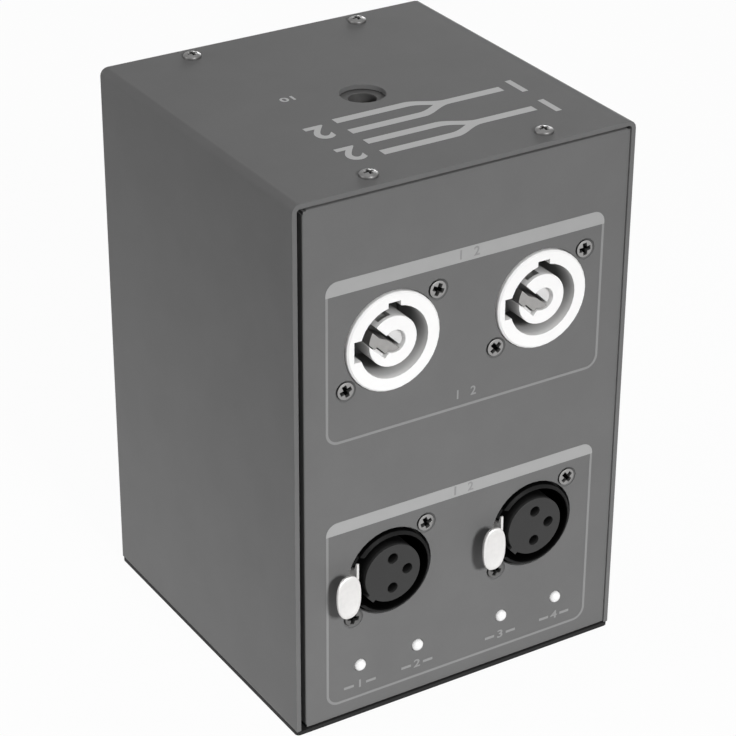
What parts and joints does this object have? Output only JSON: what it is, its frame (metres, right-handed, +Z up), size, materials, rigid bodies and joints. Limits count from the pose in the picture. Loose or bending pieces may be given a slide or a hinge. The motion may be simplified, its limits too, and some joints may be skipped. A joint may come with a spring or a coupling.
{
  "type": "power and data splitter box",
  "caption": "Upright sheet metal box that splits one mains feed and one lighting data line into locking mains outlets and latching 3-pin data sockets.",
  "frame": {"origin": "middle of the base plate's underside, on the surface that the box stands on", "axes": "+X to the right seen from the front, +Y to the back, +Z up; the outlets face -Y"},
  "size_m": [0.09, 0.0954, 0.1381],
  "materials": {
    "painted_sheet": "fine textured dark grey powder coat",
    "black_painted_sheet": "fine textured black powder coat",
    "white_plastic": "satin",
    "blue_plastic": "satin",
    "black_plastic": "gloss",
    "grey_plastic": "matt",
    "bright_metal": "nickel plated",
    "screw_steel": "zinc plated",
    "spring_steel": "plain",
    "lamp_plastic": "milky",
    "board": "green circuit board",
    "black_module": "matt",
    "green_plastic": "satin",
    "lead_sheath": "matt"
  },
  "bodies": {
    "box": {"cover": "painted_sheet", "front_panel": "painted_sheet", "rear_panel": "painted_sheet", "base_plate": "black_painted_sheet", "clamp_plate": "screw_steel", "cover_screw_1": "screw_steel", "cover_screw_2": "screw_steel", "cover_screw_3": "screw_steel", "cover_screw_4": "screw_steel", "base_screw_1": "screw_steel", "base_screw_2": "screw_steel", "base_screw_3": "screw_steel", "base_screw_4": "screw_steel", "power_out_1_housing": "white_plastic", "power_out_1_core": "white_plastic", "power_out_1_contact": "bright_metal", "power_out_1_screw_1": "screw_steel", "power_out_1_screw_2": "screw_steel", "power_out_2_housing": "white_plastic", "power_out_2_core": "white_plastic", "power_out_2_contact": "bright_metal", "power_out_2_screw_1": "screw_steel", "power_out_2_screw_2": "screw_steel", "dmx_out_1_shell": "black_plastic", "dmx_out_1_insert": "grey_plastic", "dmx_out_1_latch_pin": "screw_steel", "dmx_out_1_latch_spring": "spring_steel", "dmx_out_1_screw_1": "screw_steel", "dmx_out_1_screw_2": "screw_steel", "dmx_out_2_shell": "black_plastic", "dmx_out_2_insert": "grey_plastic", "dmx_out_2_latch_pin": "screw_steel", "dmx_out_2_latch_spring": "spring_steel", "dmx_out_2_screw_1": "screw_steel", "dmx_out_2_screw_2": "screw_steel", "lamp_1": "lamp_plastic", "lamp_2": "lamp_plastic", "lamp_3": "lamp_plastic", "lamp_4": "lamp_plastic", "power_in_housing": "blue_plastic", "power_in_core": "blue_plastic", "power_in_screw_1": "screw_steel", "power_in_screw_2": "screw_steel", "dmx_in_shell": "black_plastic", "dmx_in_pin_1": "bright_metal", "dmx_in_pin_2": "bright_metal", "dmx_in_pin_3": "bright_metal", "dmx_in_screw_1": "screw_steel", "dmx_in_screw_2": "screw_steel", "circuit_board": "board", "power_module": "black_module", "signal_isolator": "black_module", "terminal_block": "green_plastic", "outlet_1_lead": "lead_sheath", "outlet_2_lead": "lead_sheath", "inlet_lead": "lead_sheath", "dmx_in_lead": "lead_sheath"},
    "latch_1": {"dmx_out_1_latch": "bright_metal"},
    "latch_2": {"dmx_out_2_latch": "bright_metal"}
  },
  "joints": [
    {"name": "latch_1_hinge", "type": "hinge", "parent": "box", "child": "latch_1", "pos_m": [-0.03085, -0.041, 0.0375], "axis": [0, 0, 1], "range_deg": [0, 12], "stiffness_Nm_per_rad": 0.15, "springref_deg": -5.73, "deforming": ["dmx_out_1_latch_spring"]},
    {"name": "latch_2_hinge", "type": "hinge", "parent": "box", "child": "latch_2", "pos_m": [0.00915, -0.041, 0.0375], "axis": [0, 0, 1], "range_deg": [0, 12], "stiffness_Nm_per_rad": 0.15, "springref_deg": -5.73, "deforming": ["dmx_out_2_latch_spring"]}
  ]
}
